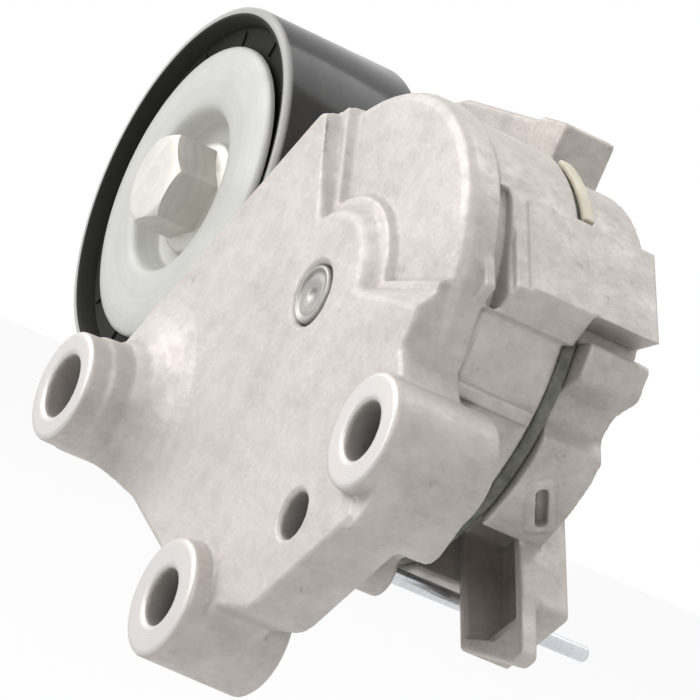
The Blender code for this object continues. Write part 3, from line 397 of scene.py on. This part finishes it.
def near_axis(tree, coordinates, centre, low, high):
    """A mask of the ring between two distances from an axis along Y, and the distance."""
    parts = tree.nodes.new("ShaderNodeSeparateXYZ")
    tree.links.new(coordinates, parts.inputs[0])
    across = calculate(tree, "SUBTRACT", parts.outputs["X"], centre[0])
    up = calculate(tree, "SUBTRACT", parts.outputs["Z"], centre[1])
    join = tree.nodes.new("ShaderNodeCombineXYZ")
    tree.links.new(across, join.inputs[0])
    tree.links.new(up, join.inputs[2])
    length = tree.nodes.new("ShaderNodeVectorMath")
    length.operation = "LENGTH"
    tree.links.new(join.outputs[0], length.inputs[0])
    distance = length.outputs["Value"]
    inside = sharpen(tree, distance, high, high - RING_BLUR)
    outside = sharpen(tree, distance, low, low + RING_BLUR)
    return calculate(tree, "MULTIPLY", inside, outside), distance


cast_skin = cast_skin_group()
MACHINED = (0.60, 0.57, 0.55, 1)
MACHINED_GLOSS = 0.42
TOOL_MARKS = 14000.0
BORE_PAINTED_SHADE = (0.10, 0.092, 0.085, 1)


def cast_metal(name, light, dark, edge, faces, bores):
    """Cast aluminium. faces lists machined rings as (centre, inner, outer, front) values,
    and bores lists drilled holes, with painted shade inside, as (centre, radius, front)."""
    material, tree, shader = new_material(name, 0.5, 0.5)
    spot = object_coordinates(tree)
    skin = tree.nodes.new("ShaderNodeGroup")
    skin.node_tree = cast_skin
    tree.links.new(spot, skin.inputs["Coordinates"])
    skin.inputs["Light"].default_value = light
    skin.inputs["Dark"].default_value = dark
    skin.inputs["Edge"].default_value = edge
    skin.inputs["Wear"].default_value = 0.1
    colour = skin.outputs["Colour"]
    height = skin.outputs["Height"]
    rough = skin.outputs["Roughness"]
    parts = tree.nodes.new("ShaderNodeSeparateXYZ")
    tree.links.new(spot, parts.inputs[0])
    # Painted shade: each bore is darkened inside, more so towards its depth.
    for centre, radius, front in bores:
        hole = near_axis(tree, spot, centre, -1.0, radius)[0]
        deep = sharpen(tree, parts.outputs["Y"], front + 1.0 * MM, front + 7.0 * MM, 0.25, 0.8)
        shade = calculate(tree, "MULTIPLY", hole, deep)
        colour = mix_node(tree, "RGBA", shade, colour, BORE_PAINTED_SHADE)
    for centre, inner, outer, front in faces:
        ring, distance = near_axis(tree, spot, centre, inner, outer)
        level = sharpen(tree, parts.outputs["Y"], front + 0.5 * MM, front + 0.25 * MM)
        mask = calculate(tree, "MULTIPLY", ring, level)
        turned = calculate(tree, "SINE", calculate(tree, "MULTIPLY", distance, TOOL_MARKS))
        colour = mix_node(tree, "RGBA", mask, colour, MACHINED)
        rough = mix_node(tree, "FLOAT", mask, rough, MACHINED_GLOSS)
        height = mix_node(tree, "FLOAT", mask, height, calculate(tree, "MULTIPLY", turned, 0.12))
    tree.links.new(colour, shader.inputs["Base Color"])
    tree.links.new(rough, shader.inputs["Roughness"])
    bump(tree, shader, height, 0.5, 0.12 * MM)
    return material


# Bosses: centre, bore, outer radius and face. Bores: centre, radius and where their painted shade
# begins.
BOSSES = [
    ((-51.0 * MM, -33.7 * MM), 5.0 * MM, 10.8 * MM, -15.0 * MM),
    ((1.9 * MM, -59.0 * MM), 5.0 * MM, 11.0 * MM, -4.0 * MM),
    ((45.4 * MM, -17.7 * MM), 5.0 * MM, 10.4 * MM, -3.0 * MM),
]
BORES = [
    (BOSSES[0][0], 6.4 * MM, -10.0 * MM), (BOSSES[1][0], 6.4 * MM, -4.0 * MM),
    (BOSSES[2][0], 6.4 * MM, -3.0 * MM), ((28.5 * MM, -35.8 * MM), 4.5 * MM, -1.0 * MM),
]
base_metal = cast_metal(
    "base_cast_aluminium", (0.60, 0.56, 0.525, 1), (0.46, 0.425, 0.40, 1),
    (0.72, 0.69, 0.66, 1), BOSSES, BORES,
)
groove = arc_strip("groove", 8.8, 2.6, 42.6, 13.0, 14, 49)
base = rounded_casting("base_housing", "base_casting", [(groove, "DIFFERENCE")])
place_piece(base, "base", "cast_aluminium", base_metal, "base_housing")

# Pivot shaft: a turned steel pin, riveted in the plate. Its staked end shows in front of
# the plate in a round dimple, and its broad head holds the arm from behind.


def turned_group():
    """Fine rings about an axis along Y, with a little dirt between them."""
    tree = bpy.data.node_groups.new("turned_rings", "ShaderNodeTree")
    first, last = group_sockets(
        tree,
        [("Coordinates", "v", (0, 0, 0)), ("Scale", "f", 3000.0)],
        [("Mask", "f"), ("Height", "f")],
    )
    parts = tree.nodes.new("ShaderNodeSeparateXYZ")
    tree.links.new(first.outputs["Coordinates"], parts.inputs[0])
    flat = tree.nodes.new("ShaderNodeCombineXYZ")
    tree.links.new(parts.outputs["X"], flat.inputs[0])
    tree.links.new(parts.outputs["Z"], flat.inputs[2])
    length = tree.nodes.new("ShaderNodeVectorMath")
    length.operation = "LENGTH"
    tree.links.new(flat.outputs[0], length.inputs[0])
    profile = tree.nodes.new("ShaderNodeCombineXYZ")
    tree.links.new(length.outputs["Value"], profile.inputs[0])
    tree.links.new(parts.outputs["Y"], profile.inputs[1])
    rings = noise(tree, profile.outputs[0], first.outputs["Scale"], 3.0, 0.6)
    cloud = noise(tree, first.outputs["Coordinates"], 90.0, 4.0, 0.6)
    tree.links.new(calculate(tree, "MULTIPLY", rings, cloud), last.inputs["Mask"])
    tree.links.new(rings, last.inputs["Height"])
    return tree


turned_rings = turned_group()


def centred(tree, centre):
    """Coordinates with their origin on an axis along Y."""
    node = tree.nodes.new("ShaderNodeMapping")
    node.inputs["Location"].default_value = (-centre[0], 0, -centre[1])
    tree.links.new(object_coordinates(tree), node.inputs["Vector"])
    return node.outputs[0]


def turned_material(name, centre, light, dark, metallic, roughness, scale=2500.0, strength=0.15):
    """A turned or moulded round piece: rings of slightly different tone and gloss."""
    material, tree, shader = new_material(name, metallic, roughness)
    rings = tree.nodes.new("ShaderNodeGroup")
    rings.node_tree = turned_rings
    rings.inputs["Scale"].default_value = scale
    tree.links.new(centred(tree, centre), rings.inputs["Coordinates"])
    spread = sharpen(tree, rings.outputs["Mask"], 0.12, 0.42)
    tree.links.new(mix_node(tree, "RGBA", spread, dark, light), shader.inputs["Base Color"])
    tree.links.new(
        sharpen(tree, spread, 0, 1, roughness + 0.07, roughness - 0.05), shader.inputs["Roughness"]
    )
    bump(tree, shader, rings.outputs["Height"], strength, 0.05 * MM)
    return material


SHARP = math.radians(28)
SMOOTH = math.radians(35)


def round_edges(item, width, segments=2):
    """A small rounding on every sharp edge, as tumbling or moulding leaves."""
    edge = item.modifiers.new("edge", "BEVEL")
    edge.width = width * MM
    edge.segments = segments
    edge.limit_method = "ANGLE"
    edge.angle_limit = SHARP
    apply_modifiers(item)


def turned_piece(name, profile, centre=(0.0, 0.0), sides=96, edge=0.15):
    """A turned or pressed piece: a ring of points, extruded and resized from each radius
    and Y of its profile to the next. A profile that ends where it began is a ring."""
    radius, before = profile[0]
    bpy.ops.mesh.primitive_circle_add(
        vertices=sides, radius=radius * MM, location=(centre[0], before * MM, centre[1]),
        rotation=(math.pi / 2, 0, 0),
    )
    item = bpy.context.active_object
    item.name = name
    bpy.ops.object.transform_apply(location=True, rotation=True, scale=True)
    bpy.ops.object.mode_set(mode="EDIT")
    bpy.ops.mesh.select_mode(type="VERT")
    bpy.ops.mesh.select_all(action="SELECT")
    for new, after in profile[1:]:
        bpy.ops.mesh.extrude_region_move(
            TRANSFORM_OT_translate={"value": (0, (after - before) * MM, 0)}
        )
        bpy.ops.transform.resize(
            value=(new / radius, 1, new / radius),
            center_override=(centre[0], after * MM, centre[1]),
        )
        radius, before = new, after
    bpy.ops.mesh.select_all(action="SELECT")
    bpy.ops.mesh.remove_doubles(threshold=1e-6)
    bpy.ops.mesh.fill_holes(sides=0)
    bpy.ops.mesh.normals_make_consistent(inside=False)
    bpy.ops.object.mode_set(mode="OBJECT")
    if edge:
        round_edges(item, edge)
    return item


def end_piece(item, *place):
    """Smooth a finished piece up to its sharp edges, and put it in its place."""
    start_piece(item)
    bpy.ops.object.shade_smooth_by_angle(angle=SMOOTH)
    place_piece(item, *place)


PIVOT = (0.0, 0.0)
shaft_steel = turned_material(
    "turned_shaft_steel", PIVOT, (0.50, 0.48, 0.46, 1), (0.20, 0.19, 0.18, 1), 0.85, 0.46,
    1100.0, 0.5,
)
shaft = turned_piece("riveted_shaft", [
    (0.5, 0.75), (0.9, 0.6), (1.3, 0.3), (3.6, 0.2), (4.1, 0.35), (4.4, 0.3), (4.7, 0.0),
    (5.1, -0.05), (5.4, 0.15), (5.5, 0.5), (5.5, 9.8), (7.0, 9.8), (7.0, 48.4), (10.7, 48.4),
    (11.0, 48.7), (11.0, 50.3), (10.4, 50.9), (9.2, 51.2), (4.2, 51.2), (3.3, 49.9), (1.4, 49.8),
])
end_piece(shaft, "base", "turned_steel", shaft_steel, "pivot_shaft")

# Thrust washer, plain bushes and the washer under the shaft's head: the arm turns on
# these. The last is steel, and the others are sintered bronze.


def finish_solids(material, *names):
    """Give CAD nodes that keep their own shape a better material."""
    for name in names:
        for slot in nodes[name].material_slots:
            slot.material = material


bronze = turned_material(
    "sintered_bronze", PIVOT, (0.46, 0.30, 0.14, 1), (0.28, 0.17, 0.08, 1), 0.8, 0.42, 1200.0, 0.2
)
finish_solids(bronze, "front_bush", "rear_bush", "thrust_washer")
washer = turned_piece("head_washer", [
    (7.3, 47.3), (12.2, 47.3), (12.2, 48.1), (7.3, 48.1), (7.3, 47.3),
])
washer_steel = turned_material(
    "washer_steel", PIVOT, (0.52, 0.50, 0.48, 1), (0.34, 0.33, 0.32, 1), 0.85, 0.3
)
end_piece(washer, "base", "turned_steel", washer_steel, "rear_washer")

# Spring, damping band and friction ring: hardened spring wire, a cream nylon band in the
# drum, and a friction ring in the slit between the drum and the arm, whose dark greenish
# grey is partly its own colour and partly painted shade of the slit.


def plain_texture(name, light, dark, metallic, roughness, scale, stretch=(1, 1, 1), strength=0.2):
    """A drawn, moulded or rubber surface: soft cloud of two tones with a fine grain."""
    material, tree, shader = new_material(name, metallic, roughness)
    spot = stretched(tree, object_coordinates(tree), stretch)
    cloud = sharpen(tree, noise(tree, spot, scale, 4.0, 0.6), 0.35, 0.65)
    grain = noise(tree, spot, scale * 9, 2.0, 0.5)
    tree.links.new(mix_node(tree, "RGBA", cloud, dark, light), shader.inputs["Base Color"])
    tree.links.new(
        sharpen(tree, cloud, 0, 1, roughness + 0.06, roughness - 0.05), shader.inputs["Roughness"]
    )
    bump(tree, shader, grain, strength, 0.06 * MM)
    return material


wire = plain_texture(
    "spring_wire", (0.30, 0.28, 0.26, 1), (0.14, 0.13, 0.12, 1), 0.9, 0.38, 260.0, (1, 5, 1)
)
finish_solids(wire, "torsion_spring")
cream = plain_texture(
    "cream_nylon_band", (0.74, 0.68, 0.55, 1), (0.62, 0.56, 0.44, 1), 0.0, 0.45, 150.0
)
finish_solids(cream, "damper_band")
hook = arc_strip("band_end_hook", 1.2, 2.3, 39.85, 31.0, 50, 78)
round_edges(hook, 0.3, 3)
end_piece(hook, "base", "cream_nylon", cream)
ring = turned_piece("grey_friction_ring", [
    (29.8, 29.7), (38.7, 29.7), (39.1, 30.1), (39.1, 31.9), (38.7, 32.3), (29.8, 32.3),
    (29.8, 29.7),
], sides=128)
# Partly painted shade: the ring's dark greenish grey also stands for the shade in the slit.
ring_tone_and_painted_shade = plain_texture(
    "friction_lining", (0.19, 0.195, 0.155, 1), (0.10, 0.105, 0.08, 1), 0.0, 0.62, 420.0,
    strength=0.4,
)
end_piece(ring, "base", "dark_rubber", ring_tone_and_painted_shade, "friction_ring")

# Cast arm: the same alloy from another die, with its disc behind the drum, the neck to
# the pulley and the lugs that meet the stop block and the locking pin. A wall closes the
# end of its open bracket, and a slot in a raised eyelet stands on the disc's rim.
arm_metal = cast_metal(
    "arm_cast_aluminium", (0.60, 0.555, 0.515, 1), (0.41, 0.375, 0.35, 1),
    (0.68, 0.65, 0.62, 1), [], [],
)
RIM_R = 40.2 * MM


def bar(name, size, place, along, outwards, rounding):
    """A bevelled bar: its size in mm along one direction, across it and outwards."""
    bpy.ops.mesh.primitive_cube_add(size=1.0)
    item = bpy.context.active_object
    item.name = name
    item.scale = [length * MM for length in size]
    bpy.ops.object.transform_apply(location=True, rotation=True, scale=True)
    round_edges(item, rounding, 4)
    turn = Matrix((along, outwards.cross(along), outwards)).transposed().to_4x4()
    item.data.transform(Matrix.Translation(place) @ turn)
    return item


def rim_directions(degrees):
    """Outward and tangential directions at an angle of the disc's rim."""
    angle = math.radians(degrees)
    out = Vector((math.cos(angle), 0, math.sin(angle)))
    return out, Vector((-out.z, 0, out.x))


def rearwards(distance):
    """A step to the rear, in mm."""
    return Vector((0, distance * MM, 0))


away, side = rim_directions(-45.0)
end_wall_at = away * 51.5 * MM - side * 2.8 * MM + rearwards(47.6)
end_wall = bar("end_wall", (1.8, 6.8, 14.0), end_wall_at, away, side, 0.3)
outwards, round_rim = rim_directions(-31.5)
fill_at = outwards * (RIM_R - 1.7 * MM) + rearwards(42.2)
rim_fill = bar("rim_fill", (6.9, 2.6, 3.3), fill_at, round_rim, outwards, 0.02)
outwards, round_rim = rim_directions(-26.1)
slot_line = (Vector((0, 4.4, 0)) - round_rim * 6.75).normalized()
eyelet_at = outwards * (RIM_R - 1.2 * MM) + rearwards(39.4)
eyelet = bar("eyelet", (11.4, 5.2, 4.0), eyelet_at, slot_line, outwards, 1.2)
slot_at = outwards * (RIM_R + 1.0 * MM) + rearwards(39.4)
eyelet_slot = bar("eyelet_slot", (8.1, 2.2, 6.0), slot_at, slot_line, outwards, 0.9)
arm = rounded_casting("arm", "arm_casting", [
    (end_wall, "UNION"), (rim_fill, "UNION"), (eyelet, "UNION"), (eyelet_slot, "DIFFERENCE"),
])
place_piece(arm, "arm", "cast_aluminium", arm_metal, "arm")

# Locking pin: bright drawn steel, pushed along the drum to hold the arm until the belt
# is on. Both ends are chamfered.
pin_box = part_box("lock_pin")
PIN = ((pin_box[0][0] + pin_box[1][0]) / 2, (pin_box[0][2] + pin_box[1][2]) / 2)
pin = turned_piece("bright_locking_pin", [
    (0.9, 17.0), (1.5, 17.6), (1.5, 69.9), (1.2, 70.3), (0.7, 70.5),
], PIN, sides=40, edge=0.08)
pin_steel = turned_material(
    "bright_pin_steel", PIN, (0.74, 0.76, 0.79, 1), (0.58, 0.60, 0.63, 1), 0.9, 0.22
)
end_piece(pin, "pin", "turned_steel", pin_steel, "lock_pin")

# Pulley wheel: moulded black nylon with a smooth tread, a rounded lip, fine radial ribs
# in the front recess and stout ones behind the web.
PULLEY = (-87.7 * MM, 8.9 * MM)


def radial_ribs(name, count, inner, outer, thick, front, rear, centre):
    """Bevelled ribs that stand round an axis, joined into one object."""
    bpy.ops.mesh.primitive_cube_add(
        size=1.0,
        location=(centre[0] + (inner + outer) / 2 * MM, (front + rear) / 2 * MM, centre[1]),
    )
    first = bpy.context.active_object
    first.name = name
    first.scale = ((outer - inner) * MM, (rear - front) * MM, thick * MM)
    bpy.ops.object.transform_apply(location=True, rotation=True, scale=True)
    round_edges(first, thick * 0.22)
    ribs = [first]
    there = Matrix.Translation((centre[0], 0, centre[1]))
    for k in range(1, count):
        rib = first.copy()
        rib.data = first.data.copy()
        turn = Matrix.Rotation(2 * math.pi * k / count, 4, "Y")
        rib.data.transform(there @ turn @ there.inverted())
        bpy.context.collection.objects.link(rib)
        ribs.append(rib)
    start_piece(first)
    for rib in ribs:
        rib.select_set(True)
    bpy.ops.object.join()
    return first


wheel = turned_piece("pulley_wheel", [
    (37.2, 6.0), (37.75, 6.1), (38.15, 6.45), (38.3, 7.0), (38.3, 36.0), (38.15, 36.55),
    (37.75, 36.9), (37.2, 37.0), (36.2, 37.0), (35.7, 36.6), (34.9, 15.0), (34.0, 14.0),
    (25.3, 14.0), (24.3, 14.6), (23.6, 28.5), (23.2, 29.0), (20.6, 29.0), (20.3, 28.7),
    (20.3, 13.7), (18.9, 13.7), (18.7, 13.4), (18.7, 10.6), (18.9, 10.2), (20.4, 9.7),
    (21.0, 9.6), (34.0, 9.6), (34.8, 9.2), (35.7, 6.5), (36.2, 6.0), (37.2, 6.0),
], PULLEY, sides=160, edge=0)
combine(wheel, radial_ribs("front_ribs", 14, 30.8, 35.1, 0.4, 9.15, 10.4, PULLEY))
combine(wheel, radial_ribs("rear_ribs", 12, 23.4, 35.6, 2.2, 13.2, 27.0, PULLEY))
nylon, nylon_tree, nylon_shader = new_material("black_nylon_wheel", 0.0, 0.5)
nylon_spot = centred(nylon_tree, PULLEY)
outside = near_axis(nylon_tree, nylon_spot, (0.0, 0.0), 36.6 * MM, 1.0)[0]
streaks = noise(nylon_tree, stretched(nylon_tree, nylon_spot, (60, 260, 60)), 1.0, 4.0, 0.6)
moulded = noise(nylon_tree, nylon_spot, 600.0, 3.0, 0.6)
polish = sharpen(nylon_tree, streaks, 0.35, 0.65)
tread_wear_and_lip_highlight = mix_node(nylon_tree, "RGBA", polish, (0.044, 0.042, 0.041, 1), (0.032, 0.030, 0.029, 1))
nylon_parts = nylon_tree.nodes.new("ShaderNodeSeparateXYZ")
nylon_tree.links.new(nylon_spot, nylon_parts.inputs[0])
# Painted highlight: the tread's front lip is painted light grey, on top of the rubbed streaks of
# the tread.
lip_painted_highlight = sharpen(nylon_tree, nylon_parts.outputs["Y"], 7.3 * MM, 6.5 * MM)
tread_wear_and_lip_highlight = mix_node(nylon_tree, "RGBA", lip_painted_highlight, tread_wear_and_lip_highlight, (0.42, 0.415, 0.41, 1))
# Inside the tread the nylon keeps a moulded mottle, and its colour is painted darker than the
# tread as painted shade in the recess.
inner_tone_and_painted_shade = mix_node(nylon_tree, "RGBA", moulded, (0.014, 0.014, 0.013, 1), (0.024, 0.023, 0.022, 1))
nylon_tree.links.new(
    mix_node(nylon_tree, "RGBA", outside, inner_tone_and_painted_shade, tread_wear_and_lip_highlight), nylon_shader.inputs["Base Color"]
)
rubbed = sharpen(nylon_tree, streaks, 0.3, 0.7, 0.15, 0.20)
nylon_tree.links.new(
    mix_node(nylon_tree, "FLOAT", outside, 0.62, rubbed), nylon_shader.inputs["Roughness"]
)
nylon_tree.links.new(
    calculate(nylon_tree, "MULTIPLY", outside, 0.12), nylon_shader.inputs["Coat Weight"]
)
nylon_shader.inputs["Coat Roughness"].default_value = 0.12
nylon_shader.inputs["Specular IOR Level"].default_value = 0.12
relief = mix_node(nylon_tree, "FLOAT", outside, moulded, streaks)
bump(nylon_tree, nylon_shader, relief, 0.12, 0.05 * MM)
end_piece(wheel, "pulley", "black_nylon", nylon, "pulley_body")

# Bearing of the pulley: ground races and balls, a cream nylon cage, rubber seals, a
# steel spacer sleeve through it and a pressed shield behind it.
race_steel = turned_material(
    "ground_race_steel", PULLEY, (0.62, 0.61, 0.60, 1), (0.48, 0.47, 0.46, 1), 0.9, 0.24
)
finish_solids(race_steel, "outer_race", "inner_race", "bearing_spacer")
ball_steel = plain_texture(
    "ball_steel", (0.70, 0.70, 0.70, 1), (0.60, 0.60, 0.60, 1), 0.95, 0.16, 300.0, strength=0.03
)
finish_solids(ball_steel, *[f"ball_{k}" for k in range(1, 9)])
finish_solids(cream, "ball_cage")
rubber = plain_texture(
    "seal_rubber", (0.035, 0.035, 0.036, 1), (0.020, 0.020, 0.021, 1), 0.0, 0.6, 300.0
)
finish_solids(rubber, "front_seal", "rear_seal")
shield = turned_piece("pressed_rear_shield", [
    (8.7, 27.4), (18.6, 27.4), (19.4, 27.9), (19.4, 28.4), (18.4, 28.1), (13.0, 28.1),
    (12.4, 28.4), (8.7, 28.4), (8.7, 27.4),
], PULLEY, sides=112)
shield_steel = turned_material(
    "pressed_shield_steel", PULLEY, (0.56, 0.55, 0.53, 1), (0.44, 0.43, 0.42, 1), 0.85, 0.3
)
end_piece(shield, "arm", "zinc_cap", shield_steel, "rear_shield")

# Dust cap: pressed steel with an off-white zinc coat. Its round well takes the head of
# the bolt, and its rim is turned back.
cap = turned_piece("coated_dust_cap", [
    (5.3, 12.0), (13.9, 12.0), (14.6, 11.8), (15.2, 11.2), (16.4, 7.8), (16.8, 7.1), (17.4, 6.6),
    (18.2, 6.35), (19.4, 6.25), (22.0, 6.2), (25.0, 6.3), (27.6, 6.55), (29.2, 6.9), (30.0, 7.3),
    (30.35, 7.75), (30.4, 8.3), (29.9, 8.5), (29.4, 8.3), (28.8, 8.0), (27.0, 7.65), (22.0, 7.3),
    (18.9, 7.35), (18.1, 7.6), (17.6, 8.2), (16.2, 12.0), (15.5, 12.8), (14.6, 13.0), (5.3, 13.0),
    (5.3, 12.0),
], PULLEY, sides=128, edge=0)
cap_coat = turned_material(
    "off_white_zinc_coat", PULLEY, (0.56, 0.56, 0.53, 1), (0.48, 0.48, 0.455, 1), 0.1, 0.42,
    900.0, 0.06,
)
end_piece(cap, "arm", "zinc_cap", cap_coat, "dust_cap")

# Pulley bolt: forged hex head on a round flange, zinc plated and a little darker than the
# cap. The corners of the hex are turned off at the top, and the slivers that rounding
# leaves there are cleaned away.
HEX_HALF = 8.5
HEX_TURN = math.radians(-12)
SLIVER = 0.02 * MM
bpy.ops.mesh.primitive_cylinder_add(
    vertices=6, radius=HEX_HALF / math.cos(math.pi / 6) * MM, depth=10.0 * MM,
    location=(PULLEY[0], 5.5 * MM, PULLEY[1]), rotation=(math.pi / 2, 0, 0),
)
bolt = bpy.context.active_object
bolt.name = "hex_bolt"
bolt.rotation_euler.rotate_axis("Z", HEX_TURN)
bpy.ops.object.transform_apply(location=True, rotation=True, scale=True)
crown = turned_piece("crown", [
    (7.9, 0.5), (8.5, 0.58), (9.0, 0.82), (9.5, 1.2), (10.3, 1.95), (10.3, 12.0), (4.0, 12.0),
], PULLEY, sides=128, edge=0)
combine(bolt, crown, "INTERSECT")
combine(bolt, turned_piece("flange", [
    (5.0, 9.4), (8.6, 9.4), (10.4, 9.9), (11.3, 10.4), (11.6, 10.9), (11.6, 11.4), (11.3, 11.7),
    (5.0, 11.7), (5.0, 45.0), (4.0, 46.0), (2.0, 46.0),
], PULLEY, sides=96, edge=0))
round_edges(bolt, 0.35, 3)
bpy.ops.object.mode_set(mode="EDIT")
bpy.ops.mesh.select_all(action="SELECT")
bpy.ops.mesh.dissolve_degenerate(threshold=SLIVER)
bpy.ops.object.mode_set(mode="OBJECT")
bolt_zinc = turned_material(
    "plated_bolt_zinc", PULLEY, (0.70, 0.68, 0.63, 1), (0.56, 0.54, 0.50, 1), 0.6, 0.42,
    500.0, 0.08,
)
end_piece(bolt, "arm", "turned_steel", bolt_zinc, "pulley_bolt")
